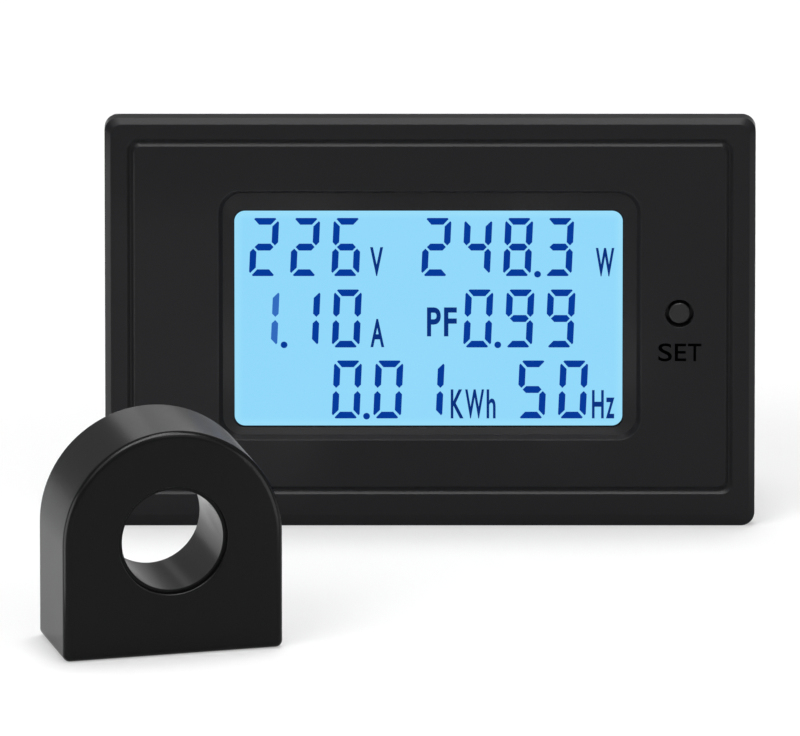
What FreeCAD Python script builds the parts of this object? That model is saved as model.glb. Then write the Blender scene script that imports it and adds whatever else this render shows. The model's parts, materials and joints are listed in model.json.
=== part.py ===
import FreeCAD, Part
import math
import os

# Panel-mounted digital power meter and the ring current transformer that belongs to it.
# Lengths are in millimetres. X runs across the face, Z is up, and the face looks towards -Y.
# The origin is the centre of the bezel's rear face, the face that seats on a panel.
# The bezel's lower edge and the transformer's foot stand on the same table.

Vector = FreeCAD.Vector

# Bezel: the visible frame, with a narrow bevel at its top and sides and a wider one below
bezel_width = 85.0
bezel_height = 55.4
bezel_thickness = 2.6
bezel_corner = 1.8
bevel_depth = 0.6
bevel_side = 0.8
bevel_bottom = 1.6
bevel_round = 0.2
front_wall = 2.0

# Groove that frames the inner panel of the face
groove_side_inset = 2.85
groove_top_inset = 2.7
groove_bottom_inset = 4.4
groove_width = 1.05
groove_slope = 0.42
groove_depth = 0.4
groove_corner = 1.45
groove_round = 0.12

# Window, and the sunk surround that slopes down to it
window_side_margin = 17.05
window_end_margin = 12.95
window_corner = 1.3
window_x = -0.2
window_z = 0.22
surround_left = 2.0
surround_right = 2.3
surround_top = 3.0
surround_bottom = 1.4
surround_corner = 2.9
surround_depth = 1.4
lip_run = 0.55
lip_depth = 0.85
lip_round = 0.2

# Body behind the bezel, which passes through the panel cut-out
bezel_side_overlap = 3.2
bezel_end_overlap = 5.95
body_depth = 20.8
body_corner = 2.0
body_wall = 1.6

# Snap arms cut free from the side walls, stepped for panels of different thickness
arm_width = 10.0
arm_thickness = 1.2
arm_tip = 2.6
arm_root = 16.5
arm_tread = 0.7
arm_riser = 0.4
arm_tread_count = 3
arm_first_rise = 0.5
arm_ramp_end = 11.0
arm_slot = 0.8

# Key: cap, retaining collar and stem, guided by a ring behind the front wall
key_offset = -0.475
key_z = 1.3
key_hole_radius = 1.86
key_hole_round = 0.1
key_cap_radius = 1.4
key_cap_sink = 0.1
key_cap_round = 0.25
key_collar_radius = 2.6
key_collar_thickness = 0.8
key_collar_gap = 0.05
key_stem_radius = 1.2
key_travel = 0.3
guide_wall = 0.8
guide_depth = 1.5
key_running_gap = 0.08

# Tactile switch under the key
switch_size = 6.0
switch_height = 3.5
switch_plunger_radius = 1.7
switch_plunger_rise = 1.5
switch_plunger_root = 0.8
switch_plunger_gap = 0.08
plunger_touch_gap = 0.05
switch_pocket_spare = 0.3

# Display cell: two glass plates between polarisers
cell_front_gap = 0.05
polariser_thickness = 0.2
polariser_margin = 1.3
glass_thickness = 0.7
glass_margin = 2.3
contact_ledge = 2.0

# Backlight behind the cell
light_guide_thickness = 2.5
light_guide_gap = 0.1
light_guide_side_gap = 1.3
led_count = 3
led_pitch = 9.0
led_length = 3.0
led_height = 2.0
tray_wall = 0.9
tray_floor = 0.8
tray_gap = 0.15
tray_front = -0.3
strip_thickness = 1.8
strip_end_inset = 1.75
strip_gap = 0.1

# Main board
board_front = 6.0
board_thickness = 1.6
board_edge_gap = 0.6
board_post_gap = 0.4
board_boss_radius = 2.2
board_boss_side_inset = 4.3
board_boss_post_gap = 8.5
board_hole_radius = 1.3
foot_radius = 1.5
foot_side_inset = 3.0
foot_top_inset = 3.0
foot_bottom_inset = 10.5
peg_radius = 0.75
peg_clearance = 0.1
peg_sink = 0.3

# Corner posts and rear cover
post_radius = 2.4
post_inset = 2.2
pilot_radius = 1.05
pilot_depth = 9.0
cover_thickness = 2.0
cover_rim_height = 1.5
cover_rim_wall = 1.2
cover_gap = 0.15
cover_window_gap = 0.25
cover_edge_round = 0.5

# Self-tapping screws of the cover and the board
screw_radius = 1.0
cover_screw_length = 8.0
cover_head_radius = 2.0
cover_head_height = 1.1
cover_head_sink = 0.1
cover_hole_radius = 1.25
board_screw_length = 4.6
board_head_radius = 1.9
board_head_height = 1.3
recess_width = 0.55
recess_length = 2.2
recess_depth = 0.7

# Four-way terminal block with rising clamps
pole_count = 4
pole_pitch = 7.62
block_centre_inset = 23.7
block_side_wall = 0.4
block_length = 9.6
block_wall_gap = 0.3
block_floor = 0.8
block_front_wall = 1.6
clamp_width = 5.0
clamp_length = 5.0
clamp_side = 0.8
clamp_bottom = 0.8
clamp_window = 4.0
clamp_top = 1.4
clamp_gap = 0.1
clamp_travel = 2.5
bar_thickness = 0.8
bar_width = 3.2
bar_gap = 0.1
pin_width = 1.0
pin_thickness = 0.8
pin_reach = 0.8
terminal_screw_radius = 1.45
terminal_thread_gap = 0.05
terminal_head_radius = 2.3
terminal_head_height = 1.6
terminal_head_gap = 0.12
terminal_slot_width = 0.7
terminal_slot_depth = 0.8
block_shoulder = 0.8
block_lip = 0.6
access_radius = 2.1
wire_hole_radius = 1.5
wire_funnel = 0.4
wire_slot_height = 4.5
wire_slot_end_gap = 0.5

# Board parts: insets run from the cavity's left wall and its floor or roof to the part's centre,
# the other places are centres, and a size is width, height and rise off the board
film_capacitor_left_inset = 14.6
film_capacitor_floor_inset = 9.7
film_capacitor_size = (16.0, 11.0, 8.5)
film_capacitor_corner = 0.6
can_left_inset = 13.7
can_roof_inset = 16.7
can_radius = 4.0
can_length = 11.5
lead_radius = 0.3
lead_spacing = 3.5
lead_rise = 0.3
varistor_floor_inset = 7.7
varistor_radius = 4.5
varistor_thickness = 3.6
varistor_rise = 1.0
fuse_place = (-10.0, 7.0)
fuse_radius = 1.5
fuse_length = 8.0
controller_place = (6.0, 8.0)
controller_size = 10.0
controller_rise = 1.4
controller_lead_count = 8
metering_place = (22.0, 8.0)
metering_width = 4.0
metering_length = 10.0
metering_rise = 1.6
metering_lead_count = 8
crystal_place = (8.0, -5.0)
crystal_length = 11.0
crystal_width = 4.6
crystal_corner = 2.0
crystal_rise = 3.4
chip_rows = 3
chip_columns = 5
chip_place = (16.0, -4.0)
chip_pitch = 3.0
chip_length = 2.0
chip_width = 1.25
chip_rise = 0.6

# Ring current transformer, standing turned in front of the meter's left end
transformer_x = -33.05
transformer_y = -61.8
transformer_turn = 14.2
ring_radius = 14.55
ring_depth = 13.6
bore_height = 15.4
bore_radius = 6.7
tube_wall = 0.8
case_wall = 1.5
case_hole_lap = 0.45
case_hole_depth = 0.7
case_hole_round = 0.25
case_front_round = 0.9
case_back_round = 0.3
case_foot_round = 0.9
tube_seat_gap = 0.05
tube_side_gap = 0.1
back_plate_thickness = 1.6
back_plate_gap = 0.1
back_plate_sink = 0.2
core_thickness = 7.0
core_radial = 2.6
winding_wall = 0.9
winding_gap = 0.1
potting_gap = 0.05
lead_hole_radius = 0.9
lead_hole_spacing = 4.0
lead_hole_height = 4.0

# Sizes and levels that follow from the ones above
body_width = bezel_width - 2 * bezel_side_overlap
body_height = bezel_height - 2 * bezel_end_overlap
window_width = bezel_width - 2 * window_side_margin
window_height = bezel_height - 2 * window_end_margin
surround_edge_x = window_x + window_width / 2 + surround_right
groove_edge_x = bezel_width / 2 - groove_side_inset - groove_width
key_x = (surround_edge_x + groove_edge_x) / 2 + key_offset
face_y = -bezel_thickness
inner_face_y = face_y + front_wall
cover_inner_y = body_depth - cover_thickness
board_rear = board_front + board_thickness
table_z = -bezel_height / 2
cavity_width = body_width - 2 * body_wall
cavity_height = body_height - 2 * body_wall
cell_y = inner_face_y + cell_front_gap
glass_y = cell_y + polariser_thickness
rear_glass_y = glass_y + glass_thickness
rear_polariser_y = rear_glass_y + glass_thickness
light_guide_y = rear_polariser_y + polariser_thickness + light_guide_gap
tray_floor_y = light_guide_y + light_guide_thickness + light_guide_gap
glass_width = window_width + 2 * glass_margin
glass_height = window_height + 2 * glass_margin
glass_bottom = window_z - glass_height / 2
glass_top = window_z + glass_height / 2
strip_z = glass_bottom - contact_ledge / 2
strip_length = glass_width - 2 * strip_end_inset
light_guide_width = glass_width - 2 * light_guide_side_gap
tray_width = glass_width + 2 * (tray_gap + tray_wall)
tray_bottom = glass_bottom - contact_ledge - tray_gap - tray_wall
tray_top = glass_top + tray_gap + tray_wall

# Levels inside the terminal block, from the board outwards
clamp_floor_y = board_rear + block_floor + clamp_gap
clamp_height = clamp_bottom + clamp_window + clamp_top
bar_top_y = clamp_floor_y + clamp_bottom + clamp_window - bar_gap
bar_bottom_y = bar_top_y - bar_thickness
shoulder_y = clamp_floor_y + clamp_height + clamp_travel + clamp_gap
head_seat_y = shoulder_y + block_shoulder
lip_y = head_seat_y + terminal_head_height + 2 * terminal_head_gap
block_rear_y = lip_y + block_lip
block_bottom_z = -cavity_height / 2 + block_wall_gap
block_width = pole_count * pole_pitch + 2 * block_side_wall
block_x = cavity_width / 2 - block_centre_inset
screw_z = block_bottom_z + block_front_wall + clamp_length / 2 + clamp_gap
wire_y = (clamp_floor_y + clamp_bottom + bar_bottom_y) / 2
pole_places = [block_x + (number - (pole_count - 1) / 2) * pole_pitch for number in range(pole_count)]

# Corner places shared by posts, cover holes and screws
post_x = cavity_width / 2 - post_inset
post_z = cavity_height / 2 - post_inset
board_boss_x = cavity_width / 2 - board_boss_side_inset
board_boss_z = post_z - board_boss_post_gap
corner_signs = [(-1, -1), (1, -1), (1, 1), (-1, 1)]
post_places = [(sx * post_x, sz * post_z) for sx, sz in corner_signs]
board_boss_places = [(sx * board_boss_x, sz * board_boss_z) for sx, sz in corner_signs]

# Places of the board's tall parts; the disc stands midway between the boxed part and the terminals
film_capacitor_place = (-cavity_width / 2 + film_capacitor_left_inset,
                        -cavity_height / 2 + film_capacitor_floor_inset)
can_place = (-cavity_width / 2 + can_left_inset, cavity_height / 2 - can_roof_inset)
film_capacitor_edge_x = film_capacitor_place[0] + film_capacitor_size[0] / 2
block_edge_x = block_x - block_width / 2
varistor_place = ((film_capacitor_edge_x + block_edge_x) / 2, -cavity_height / 2 + varistor_floor_inset)

# How far a cutting shape runs past the face it opens
cut_margin = 1.0


def box(x0, x1, y0, y1, z0, z1):
    """Block between two opposite corners."""
    return Part.makeBox(x1 - x0, y1 - y0, z1 - z0, Vector(x0, y0, z0))


def rod(radius, y0, y1, x, z):
    """Round bar along Y."""
    return Part.makeCylinder(radius, y1 - y0, Vector(x, y0, z), Vector(0, 1, 0))


def cone(radius0, radius1, y0, y1, x, z):
    """Tapered round bar along Y."""
    return Part.makeCone(radius0, radius1, y1 - y0, Vector(x, y0, z), Vector(0, 1, 0))


def rounded_outline(left, right, bottom, top, corner, y):
    """Closed rectangle with round corners, standing in the plane at y."""
    diagonal = corner * (1 - math.sqrt(0.5))
    def point(x, z):
        return Vector(x, y, z)
    edges = [
        Part.LineSegment(point(left + corner, bottom), point(right - corner, bottom)),
        Part.Arc(point(right - corner, bottom), point(right - diagonal, bottom + diagonal),
                 point(right, bottom + corner)),
        Part.LineSegment(point(right, bottom + corner), point(right, top - corner)),
        Part.Arc(point(right, top - corner), point(right - diagonal, top - diagonal),
                 point(right - corner, top)),
        Part.LineSegment(point(right - corner, top), point(left + corner, top)),
        Part.Arc(point(left + corner, top), point(left + diagonal, top - diagonal),
                 point(left, top - corner)),
        Part.LineSegment(point(left, top - corner), point(left, bottom + corner)),
        Part.Arc(point(left, bottom + corner), point(left + diagonal, bottom + diagonal),
                 point(left + corner, bottom)),
    ]
    return Part.Wire([edge.toShape() for edge in edges])


def rounded_plate(left, right, bottom, top, corner, y0, y1):
    """Plate with round corners between two planes across Y."""
    face = Part.Face(rounded_outline(left, right, bottom, top, corner, y0))
    return face.extrude(Vector(0, y1 - y0, 0))


def centred_plate(width, height, corner, y0, y1):
    """Plate with round corners, centred on the Y axis."""
    return rounded_plate(-width / 2, width / 2, -height / 2, height / 2, corner, y0, y1)


def loft(outlines):
    """Straight-sided solid through a row of outlines."""
    return Part.makeLoft(outlines, True, True)


def fuse_all(first, others):
    """One solid from a base and the pieces that grow out of it."""
    return first.multiFuse(others).removeSplitter()


def flat_edges_at(shape, y, inside):
    """Edges that lie in the plane at y and whose box passes the given test."""
    chosen = []
    for edge in shape.Edges:
        bounds = edge.BoundBox
        in_plane = abs(bounds.YMin - y) < 1e-4 and abs(bounds.YMax - y) < 1e-4
        if in_plane and inside(bounds):
            chosen.append(edge)
    return chosen


def build_bezel():
    """Bezel plate, bevelled all round, wider at the lower edge."""
    half_width = bezel_width / 2
    half_height = bezel_height / 2
    shoulder = face_y + bevel_depth
    rim = centred_plate(bezel_width, bezel_height, bezel_corner, shoulder, 0)
    outer = rounded_outline(-half_width, half_width, -half_height, half_height, bezel_corner, shoulder)
    face = rounded_outline(-half_width + bevel_side, half_width - bevel_side,
                           -half_height + bevel_bottom, half_height - bevel_side,
                           bezel_corner - bevel_side / 2, face_y)
    bezel = rim.fuse(loft([outer, face])).removeSplitter()
    rim_edges = flat_edges_at(bezel, face_y, lambda bounds: True)
    return bezel.makeFillet(bevel_round, rim_edges)


def groove_bounds(offset):
    """Left, right, bottom and top of the groove's outer edge, moved inwards by an offset."""
    side = bezel_width / 2 - groove_side_inset - offset
    bottom = -bezel_height / 2 + groove_bottom_inset + offset
    top = bezel_height / 2 - groove_top_inset - offset
    return -side, side, bottom, top


def groove_outline(offset, y):
    """Outline that runs round the groove, moved inwards by an offset."""
    return rounded_outline(*groove_bounds(offset), groove_corner - offset / 2, y)


def build_groove():
    """Ring-shaped solid with sloped walls that is cut away to leave the channel."""
    floor_y = face_y + groove_depth
    outer = loft([groove_outline(0, face_y), groove_outline(groove_slope, floor_y)])
    inner = loft([groove_outline(groove_width, face_y),
                  groove_outline(groove_width - groove_slope, floor_y)])
    return outer.cut(inner)


def build_surround():
    """Sunk frame of the display: a steep lip, then a gentle slope to the window."""
    left = window_x - window_width / 2
    right = window_x + window_width / 2
    bottom = window_z - window_height / 2
    top = window_z + window_height / 2
    outer_left = left - surround_left
    outer_right = right + surround_right
    outer_bottom = bottom - surround_bottom
    outer_top = top + surround_top
    mouth = rounded_outline(outer_left, outer_right, outer_bottom, outer_top, surround_corner, face_y)
    ledge = rounded_outline(outer_left + lip_run, outer_right - lip_run, outer_bottom + lip_run,
                            outer_top - lip_run, surround_corner - lip_run / 2, face_y + lip_depth)
    floor = rounded_outline(left, right, bottom, top, window_corner, face_y + surround_depth)
    opening = rounded_plate(left, right, bottom, top, window_corner,
                            face_y + surround_depth, inner_face_y + cut_margin)
    return loft([mouth, ledge]).fuse([loft([ledge, floor]), opening])


def snap_arm(side):
    """Cantilever arm whose stepped tip springs out behind the panel."""
    outline = [(-arm_thickness, arm_root), (-arm_thickness, arm_tip), (arm_first_rise, arm_tip)]
    for tread in range(1, arm_tread_count + 1):
        y = arm_tip + tread * arm_tread
        outline.append((arm_first_rise + (tread - 1) * arm_riser, y))
        if tread < arm_tread_count:
            outline.append((arm_first_rise + tread * arm_riser, y))
    outline.append((0, arm_ramp_end))
    outline.append((0, arm_root))
    wall_x = body_width / 2
    points = [Vector(side * (wall_x + x), y, -arm_width / 2) for x, y in outline]
    face = Part.Face(Part.makePolygon(points + points[:1]))
    return face.extrude(Vector(0, 0, arm_width))


def arm_opening(side):
    """Space around a snap arm, cut through the side wall."""
    inside = side * (body_width / 2 - body_wall - cut_margin)
    outside = side * (body_width / 2 + cut_margin)
    half = arm_width / 2 + arm_slot
    return box(min(inside, outside), max(inside, outside), arm_tip - arm_slot, arm_root, -half, half)


def wire_slot():
    """Slot in the lower wall through which the wires reach the terminal block."""
    half = block_width / 2 - wire_slot_end_gap
    bottom = -body_height / 2 - cut_margin
    return box(block_x - half, block_x + half, wire_y - wire_slot_height / 2,
               wire_y + wire_slot_height / 2, bottom, bottom + body_wall + 2 * cut_margin)


def build_front_housing():
    """Bezel, body walls, posts, bosses, key guide and snap arms moulded as one."""
    walls = centred_plate(body_width, body_height, body_corner, 0, cover_inner_y)
    cavity = centred_plate(cavity_width, cavity_height, body_corner - body_wall / 2,
                           inner_face_y, cover_inner_y + cut_margin)
    housing = build_bezel().fuse(walls).cut(cavity)
    posts = []
    for x, z in post_places:
        posts.append(rod(post_radius, inner_face_y, cover_inner_y, x, z))
    for x, z in board_boss_places:
        posts.append(rod(board_boss_radius, inner_face_y, board_front, x, z))
    guide_radius = key_collar_radius + key_running_gap
    posts.append(rod(guide_radius + guide_wall, inner_face_y, inner_face_y + guide_depth, key_x, key_z))
    body = centred_plate(body_width, body_height, body_corner, inner_face_y, cover_inner_y)
    housing = fuse_all(housing, [post.common(body) for post in posts])
    cuts = [build_surround(), build_groove(), wire_slot(), arm_opening(-1), arm_opening(1)]
    cuts.append(rod(key_hole_radius, face_y - cut_margin, inner_face_y + cut_margin, key_x, key_z))
    cuts.append(rod(guide_radius, inner_face_y, inner_face_y + guide_depth + cut_margin, key_x, key_z))
    for x, z in post_places:
        cuts.append(rod(pilot_radius, cover_inner_y - pilot_depth, cover_inner_y + cut_margin, x, z))
    for x, z in board_boss_places:
        cuts.append(rod(pilot_radius, inner_face_y + cut_margin, board_front + cut_margin, x, z))
    housing = housing.cut(cuts)
    housing = fuse_all(housing, [snap_arm(-1), snap_arm(1)])
    return round_face_edges(housing)


def round_face_edges(housing):
    """Soften the upper edges of the groove, the surround and the key hole."""
    left, right, bottom, top = groove_bounds(-groove_round)
    def on_groove(bounds):
        within = bounds.XMin > left and bounds.XMax < right and bounds.ZMin > bottom and bounds.ZMax < top
        return within and not in_surround(bounds) and not at_key(bounds)
    def in_surround(bounds):
        reach_x = window_width / 2 + surround_right + lip_round
        reach_z = window_height / 2 + surround_top + lip_round
        return abs(bounds.XMin - window_x) < reach_x and abs(bounds.ZMin - window_z) < reach_z \
            and abs(bounds.XMax - window_x) < reach_x and abs(bounds.ZMax - window_z) < reach_z
    def at_key(bounds):
        middle_x = (bounds.XMin + bounds.XMax) / 2
        middle_z = (bounds.ZMin + bounds.ZMax) / 2
        return math.hypot(middle_x - key_x, middle_z - key_z) < 2 * key_hole_radius
    housing = housing.makeFillet(groove_round, flat_edges_at(housing, face_y, on_groove))
    housing = housing.makeFillet(lip_round, flat_edges_at(housing, face_y, in_surround))
    return housing.makeFillet(key_hole_round, flat_edges_at(housing, face_y, at_key))


def build_set_button():
    """Key cap with a rounded rim, its retaining collar and the stem that meets the switch."""
    collar_front = inner_face_y + key_collar_gap
    collar_back = collar_front + key_collar_thickness
    stem_end = board_front - switch_height - switch_plunger_rise - plunger_touch_gap
    cap = rod(key_cap_radius, face_y + key_cap_sink, collar_front, key_x, key_z)
    cap = cap.makeFillet(key_cap_round, flat_edges_at(cap, face_y + key_cap_sink, lambda bounds: True))
    collar = rod(key_collar_radius, collar_front, collar_back, key_x, key_z)
    stem = rod(key_stem_radius, collar_back, stem_end, key_x, key_z)
    return fuse_all(cap, [collar, stem])


def build_tact_switch():
    """Square switch body with a round well for its plunger."""
    top = board_front - switch_height
    half = switch_size / 2
    body = box(key_x - half, key_x + half, top, board_front, key_z - half, key_z + half)
    well_radius = switch_plunger_radius + switch_plunger_gap
    well_depth = switch_plunger_root + key_travel + switch_pocket_spare
    return body.cut(rod(well_radius, top - cut_margin, top + well_depth, key_x, key_z))


def build_tact_plunger():
    """Round plunger that carries the key back out."""
    top = board_front - switch_height
    return rod(switch_plunger_radius, top - switch_plunger_rise, top + switch_plunger_root, key_x, key_z)


def cell_plate(width, height, y, thickness, drop=0):
    """One flat layer of the display cell, made longer downwards by a drop."""
    return box(window_x - width / 2, window_x + width / 2, y, y + thickness,
               window_z - height / 2 - drop, window_z + height / 2)


def build_display_layers():
    """Polarisers and glass plates; the front glass carries the contact ledge."""
    polariser_width = window_width + 2 * polariser_margin
    polariser_height = window_height + 2 * polariser_margin
    return {
        "lcd_front_polariser": cell_plate(polariser_width, polariser_height, cell_y, polariser_thickness),
        "lcd_front_glass": cell_plate(glass_width, glass_height, glass_y, glass_thickness, contact_ledge),
        "lcd_rear_glass": cell_plate(glass_width, glass_height, rear_glass_y, glass_thickness),
        "lcd_rear_polariser": cell_plate(polariser_width, polariser_height,
                                         rear_polariser_y, polariser_thickness),
    }


def build_light_guide():
    """Clear plate behind the cell that spreads the light of the lamps beside it."""
    return cell_plate(light_guide_width, glass_height - 2 * light_guide_gap, light_guide_y,
                      light_guide_thickness)


def led_places():
    """Heights of the lamps beside the light guide."""
    return [window_z + (number - (led_count - 1) / 2) * led_pitch for number in range(led_count)]


def build_leds():
    """Side-looking lamps between the tray's wall and the light guide."""
    outer = window_x - glass_width / 2 - tray_gap
    inner = window_x - light_guide_width / 2 - light_guide_gap
    lamps = []
    for z in led_places():
        lamps.append(box(outer, inner, tray_floor_y - led_height, tray_floor_y,
                         z - led_length / 2, z + led_length / 2))
    return Part.makeCompound(lamps)


def tray_feet_places():
    """Centres of the tray's four feet."""
    left = window_x - tray_width / 2 + foot_side_inset
    right = window_x + tray_width / 2 - foot_side_inset
    low = tray_bottom + foot_bottom_inset
    high = tray_top - foot_top_inset
    return [(x, z) for x in (left, right) for z in (low, high)]


def build_backlight_tray():
    """White tray: walls round the cell, a slot for the contact strip, feet and pegs on the board."""
    left = window_x - tray_width / 2
    right = window_x + tray_width / 2
    floor_back = tray_floor_y + tray_floor
    tray = box(left, right, tray_front, floor_back, tray_bottom, tray_top)
    inner_left = left + tray_wall
    inner_right = right - tray_wall
    pocket = box(inner_left, inner_right, tray_front - cut_margin, tray_floor_y,
                 glass_bottom - tray_gap, tray_top - tray_wall)
    ledge = box(inner_left, inner_right, tray_front - cut_margin, glass_y + glass_thickness,
                tray_bottom + tray_wall, tray_top - tray_wall)
    slot_half = strip_length / 2 + strip_gap
    slot = box(window_x - slot_half, window_x + slot_half, tray_front - cut_margin,
               floor_back + cut_margin, strip_z - strip_thickness / 2 - strip_gap,
               strip_z + strip_thickness / 2 + strip_gap)
    tray = tray.cut([pocket, ledge, slot])
    supports = []
    for x, z in tray_feet_places():
        supports.append(rod(foot_radius, tray_floor_y, board_front, x, z))
        supports.append(rod(peg_radius, board_front, board_rear - peg_sink, x, z))
    return fuse_all(tray, supports)


def build_contact_strip():
    """Elastomer strip between the glass ledge and the board."""
    return box(window_x - strip_length / 2, window_x + strip_length / 2, rear_glass_y, board_front,
               strip_z - strip_thickness / 2, strip_z + strip_thickness / 2)


def pin_z():
    """Centre of the terminal pins behind the clamp chambers."""
    return screw_z + clamp_length / 2 + clamp_gap + pin_thickness


def build_main_board():
    """Board with notched corners, screw holes, peg holes and pin holes."""
    width = cavity_width - 2 * board_edge_gap
    height = cavity_height - 2 * board_edge_gap
    board = centred_plate(width, height, body_corner / 2, board_front, board_rear)
    front = board_front - cut_margin
    rear = board_rear + cut_margin
    cuts = [rod(post_radius + board_post_gap, front, rear, x, z) for x, z in post_places]
    cuts += [rod(board_hole_radius, front, rear, x, z) for x, z in board_boss_places]
    cuts += [rod(peg_radius + peg_clearance, front, rear, x, z) for x, z in tray_feet_places()]
    hole = math.hypot(pin_width, pin_thickness) / 2 + peg_clearance
    cuts += [rod(hole, front, rear, x, pin_z()) for x in pole_places]
    return board.cut(cuts)


def terminal_chamber(x):
    """Space for one clamp, its screw and its wire, cut from the block."""
    half_width = clamp_width / 2 + clamp_gap
    half_length = clamp_length / 2 + clamp_gap
    chamber = box(x - half_width, x + half_width, board_rear + block_floor, shoulder_y,
                  screw_z - half_length, screw_z + half_length)
    shank = rod(terminal_screw_radius + clamp_gap, shoulder_y, head_seat_y, x, screw_z)
    pocket = rod(terminal_head_radius + terminal_head_gap, head_seat_y, lip_y, x, screw_z)
    access = rod(access_radius, lip_y, block_rear_y, x, screw_z)
    bar_slot = box(x - bar_width / 2 - bar_gap, x + bar_width / 2 + bar_gap, board_rear,
                   bar_top_y + bar_gap, screw_z + half_length,
                   pin_z() + pin_thickness / 2 + bar_gap)
    wire = Part.makeCylinder(wire_hole_radius, block_front_wall + clamp_gap,
                             Vector(x, wire_y, block_bottom_z), Vector(0, 0, 1))
    funnel = Part.makeCone(wire_hole_radius + wire_funnel, wire_hole_radius, wire_funnel,
                           Vector(x, wire_y, block_bottom_z), Vector(0, 0, 1))
    return [chamber, shank, pocket, access, bar_slot, wire, funnel]


def build_terminal_block():
    """Insulating block with four chambers, screw wells and wire entries."""
    half = block_width / 2
    block = box(block_x - half, block_x + half, board_rear, block_rear_y,
                block_bottom_z, block_bottom_z + block_length)
    cuts = []
    for x in pole_places:
        cuts += terminal_chamber(x)
    return block.cut(cuts)


def build_terminal_bars():
    """Fixed contact bars with the pins that pass through the board."""
    bars = []
    start = screw_z - clamp_length / 2
    end = pin_z() + pin_thickness / 2
    for x in pole_places:
        bar = box(x - bar_width / 2, x + bar_width / 2, bar_bottom_y, bar_top_y, start, end)
        pin = box(x - pin_width / 2, x + pin_width / 2, board_front - pin_reach, bar_bottom_y,
                  end - pin_thickness, end)
        bars.append(bar.fuse(pin).removeSplitter())
    return Part.makeCompound(bars)


def build_terminal_clamp(x):
    """Rising clamp: a short square tube whose top is threaded for the screw."""
    half_width = clamp_width / 2
    half_length = clamp_length / 2
    clamp = box(x - half_width, x + half_width, clamp_floor_y, clamp_floor_y + clamp_height,
                screw_z - half_length, screw_z + half_length)
    window_bottom = clamp_floor_y + clamp_bottom
    window = box(x - half_width + clamp_side, x + half_width - clamp_side, window_bottom,
                 window_bottom + clamp_window, screw_z - clamp_length, screw_z + clamp_length)
    thread = rod(terminal_screw_radius + terminal_thread_gap, window_bottom,
                 clamp_floor_y + clamp_height + cut_margin, x, screw_z)
    return clamp.cut([window, thread])


def build_terminal_screw(x):
    """Slotted screw that stays in place and draws its clamp up."""
    seat = head_seat_y + terminal_head_gap
    top = seat + terminal_head_height
    shank = rod(terminal_screw_radius, bar_top_y + terminal_thread_gap, seat, x, screw_z)
    head = rod(terminal_head_radius, seat, top, x, screw_z)
    slot = box(x - terminal_slot_width / 2, x + terminal_slot_width / 2, top - terminal_slot_depth,
               top + cut_margin, screw_z - 2 * terminal_head_radius, screw_z + 2 * terminal_head_radius)
    return shank.fuse(head).removeSplitter().cut(slot)


def cross_recess(top, x, z):
    """Cross-shaped driver recess in a screw head."""
    half = recess_width / 2
    arm = recess_length / 2
    deep = top - recess_depth
    across = box(x - arm, x + arm, deep, top + cut_margin, z - half, z + half)
    upright = box(x - half, x + half, deep, top + cut_margin, z - arm, z + arm)
    return across.fuse(upright)


def build_cover_screws():
    """Countersunk screws that hold the rear cover."""
    top = body_depth - cover_head_sink
    under_head = top - cover_head_height
    screws = []
    for x, z in post_places:
        head = cone(screw_radius, cover_head_radius, under_head, top, x, z)
        shank = rod(screw_radius, under_head - cover_screw_length, under_head, x, z)
        screws.append(shank.fuse(head).removeSplitter().cut(cross_recess(top, x, z)))
    return Part.makeCompound(screws)


def build_board_screws():
    """Pan-head screws that hold the board on its bosses."""
    top = board_rear + board_head_height
    screws = []
    for x, z in board_boss_places:
        head = rod(board_head_radius, board_rear, top, x, z)
        head = head.makeFillet(board_head_height / 2, flat_edges_at(head, top, lambda bounds: True))
        shank = rod(screw_radius, board_rear - board_screw_length, board_rear, x, z)
        screws.append(shank.fuse(head).removeSplitter().cut(cross_recess(top, x, z)))
    return Part.makeCompound(screws)


def build_rear_cover():
    """Flat cover with a locating rim, countersunk holes and a window over the terminals."""
    cover = centred_plate(body_width, body_height, body_corner, cover_inner_y, body_depth)
    rear_edges = flat_edges_at(cover, body_depth, lambda bounds: True)
    cover = cover.makeFillet(cover_edge_round, rear_edges)
    rim_width = cavity_width - 2 * cover_gap
    rim_height = cavity_height - 2 * cover_gap
    rim_front = cover_inner_y - cover_rim_height
    outer = centred_plate(rim_width, rim_height, body_corner - body_wall / 2, rim_front, cover_inner_y)
    inner = centred_plate(rim_width - 2 * cover_rim_wall, rim_height - 2 * cover_rim_wall,
                          body_corner / 2, rim_front, cover_inner_y)
    posts = [rod(post_radius + cover_gap, rim_front, cover_inner_y, x, z) for x, z in post_places]
    cover = fuse_all(cover, [outer.cut([inner] + posts)])
    half = block_width / 2 + cover_window_gap
    window = box(block_x - half, block_x + half, rim_front - cut_margin, body_depth + cut_margin,
                 block_bottom_z - cover_window_gap, block_bottom_z + block_length + cover_window_gap)
    cuts = [window]
    sink_start = body_depth - cover_head_sink - cover_head_height
    for x, z in post_places:
        cuts.append(rod(cover_hole_radius, cover_inner_y - cut_margin, body_depth + cut_margin, x, z))
        seat_radius = cover_head_radius + cover_hole_radius - screw_radius
        cuts.append(cone(cover_hole_radius, seat_radius, sink_start, body_depth - cover_head_sink, x, z))
        cuts.append(rod(seat_radius, body_depth - cover_head_sink, body_depth + cut_margin, x, z))
    return cover.cut(cuts)


def build_film_capacitor():
    """Boxed film capacitor lying on the board, with rounded corners."""
    x, z = film_capacitor_place
    width, height, rise = film_capacitor_size
    return rounded_plate(x - width / 2, x + width / 2, z - height / 2, z + height / 2,
                         film_capacitor_corner, board_rear, board_rear + rise)


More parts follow.
